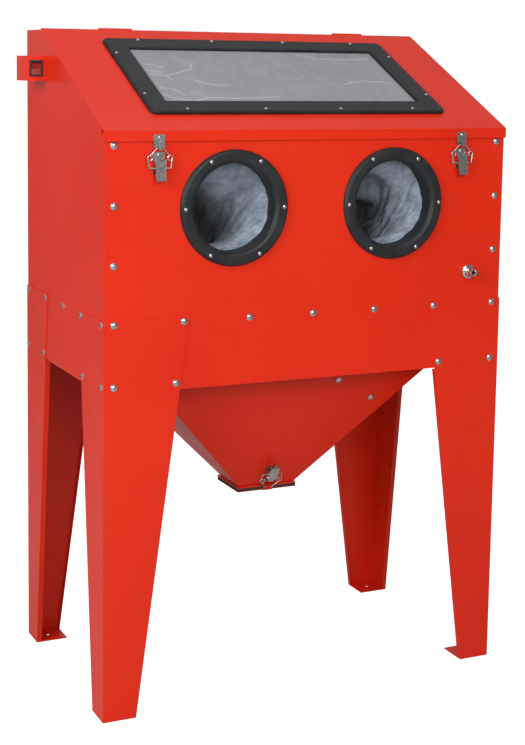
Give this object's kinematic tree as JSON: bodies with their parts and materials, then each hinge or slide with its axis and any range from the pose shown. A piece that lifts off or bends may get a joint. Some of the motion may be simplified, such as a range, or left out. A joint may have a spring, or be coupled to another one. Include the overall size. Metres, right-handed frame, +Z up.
{
  "type": "sandblast cabinet",
  "caption": "Floor-standing sheet steel blasting cabinet with a sloping windowed lid, glove ports, hopper base, toggle latches and splayed folded legs.",
  "frame": {"origin": "on the floor, at the centre of the rectangle of the four foot holes", "axes": "+Z up, +X to the user's right, -Y towards the user at the glove ports"},
  "size_m": [1.0059, 0.613, 1.4504],
  "materials": {
    "red_powder_coat": "gloss",
    "bright_zinc_plate": "bright",
    "nickel_plate": "bright",
    "black_plastic": "satin",
    "red_brown_plastic": "gloss",
    "coated_glove_cloth": "matt",
    "stainless_strap": "satin",
    "black_rubber": "matt",
    "galvanised_steel": "matt",
    "clear_acrylic": "gloss",
    "white_lamp_case": "gloss",
    "frosted_lamp_tube": "frosted",
    "cast_gun_alloy": "matt",
    "white_ceramic": "satin"
  },
  "bodies": {
    "cabinet": {"left_side_panel": "red_powder_coat", "right_side_panel": "red_powder_coat", "front_panel": "red_powder_coat", "back_panel": "red_powder_coat", "top_panel": "red_powder_coat", "hopper_front": "red_powder_coat", "hopper_back": "red_powder_coat", "hopper_left": "red_powder_coat", "hopper_right": "red_powder_coat", "outlet_rim": "red_powder_coat", "leg_front_left": "red_powder_coat", "leg_front_right": "red_powder_coat", "leg_back_left": "red_powder_coat", "leg_back_right": "red_powder_coat", "panel_screws": "bright_zinc_plate", "panel_nuts": "bright_zinc_plate", "glove_ring_left": "black_plastic", "glove_ring_right": "black_plastic", "glove_ring_screws": "bright_zinc_plate", "glove_left": "coated_glove_cloth", "glove_right": "coated_glove_cloth", "glove_clamps": "stainless_strap", "lid_seal": "black_rubber", "work_grate": "galvanised_steel", "grate_rails": "red_powder_coat", "lamp_housing": "white_lamp_case", "lamp_tube": "frosted_lamp_tube", "switch_box": "red_powder_coat", "switch_bezel": "black_plastic", "power_inlet": "black_plastic", "air_bulkhead": "nickel_plate", "air_nipple": "nickel_plate", "air_lock_nut": "bright_zinc_plate", "gun_body": "cast_gun_alloy", "gun_nozzle": "white_ceramic", "pickup_tube": "galvanised_steel", "pickup_clip": "galvanised_steel", "dust_outlet": "galvanised_steel", "hinge_fixed_leaves": "bright_zinc_plate", "hinge_pins": "bright_zinc_plate", "latch_bases": "bright_zinc_plate", "latch_rivets": "bright_zinc_plate"},
    "lid": {"lid_panel": "red_powder_coat", "window_frame": "black_plastic", "window_glass": "clear_acrylic", "window_screws": "bright_zinc_plate", "latch_keepers": "bright_zinc_plate", "keeper_rivets": "bright_zinc_plate", "lid_hinge_leaves": "bright_zinc_plate"},
    "left_latch_lever": {"left_latch_lever": "bright_zinc_plate"},
    "left_latch_loop": {"left_latch_loop": "bright_zinc_plate"},
    "right_latch_lever": {"right_latch_lever": "bright_zinc_plate"},
    "right_latch_loop": {"right_latch_loop": "bright_zinc_plate"},
    "cleanout_door": {"cleanout_door": "red_powder_coat", "door_gasket": "black_rubber", "door_hinge_leaf": "bright_zinc_plate"},
    "door_latch_lever": {"door_latch_lever": "bright_zinc_plate"},
    "door_latch_loop": {"door_latch_loop": "bright_zinc_plate"},
    "switch_rocker": {"switch_rocker": "red_brown_plastic"},
    "gun_trigger": {"gun_trigger": "cast_gun_alloy"}
  },
  "joints": [
    {"name": "lid_hinge", "type": "hinge", "parent": "cabinet", "child": "lid", "pos_m": [0, 0.16, 1.4472], "axis": [-1, 0, 0], "range_deg": [0, 120]},
    {"name": "left_latch_lever_hinge", "type": "hinge", "parent": "cabinet", "child": "left_latch_lever", "pos_m": [-0.36, -0.279, 1.174], "axis": [-1, 0, 0], "range_deg": [0, 140]},
    {"name": "left_latch_loop_hinge", "type": "hinge", "parent": "left_latch_lever", "child": "left_latch_loop", "pos_m": [-0.36, -0.279, 1.162], "axis": [-1, 0, 0], "range_deg": [-196, 0]},
    {"name": "right_latch_lever_hinge", "type": "hinge", "parent": "cabinet", "child": "right_latch_lever", "pos_m": [0.36, -0.279, 1.174], "axis": [-1, 0, 0], "range_deg": [0, 140]},
    {"name": "right_latch_loop_hinge", "type": "hinge", "parent": "right_latch_lever", "child": "right_latch_loop", "pos_m": [0.36, -0.279, 1.162], "axis": [-1, 0, 0], "range_deg": [-196, 0]},
    {"name": "door_hinge", "type": "hinge", "parent": "cabinet", "child": "cleanout_door", "pos_m": [0, 0.068, 0.403], "axis": [1, 0, 0], "range_deg": [0, 110]},
    {"name": "door_latch_lever_hinge", "type": "hinge", "parent": "cabinet", "child": "door_latch_lever", "pos_m": [0, -0.07727, 0.42755], "axis": [1, 0, 0], "range_deg": [0, 140]},
    {"name": "door_latch_loop_hinge", "type": "hinge", "parent": "door_latch_lever", "child": "door_latch_loop", "pos_m": [0, -0.08273, 0.43824], "axis": [1, 0, 0], "range_deg": [-196, 0]},
    {"name": "rocker_hinge", "type": "hinge", "parent": "cabinet", "child": "switch_rocker", "pos_m": [-0.5, 0.119, 1.358], "axis": [-1, 0, 0], "range_deg": [0, 20]},
    {"name": "trigger_hinge", "type": "hinge", "parent": "cabinet", "child": "gun_trigger", "pos_m": [0.217, 0.143, 0.882], "axis": [0, 0, -1], "range_deg": [0, 8], "stiffness_Nm_per_rad": 1.5}
  ],
  "couplings": [
    {"joint": "left_latch_loop_hinge", "follows": "left_latch_lever_hinge", "ratio": -1.4},
    {"joint": "right_latch_loop_hinge", "follows": "right_latch_lever_hinge", "ratio": -1.4},
    {"joint": "door_latch_loop_hinge", "follows": "door_latch_lever_hinge", "ratio": -1.4}
  ]
}
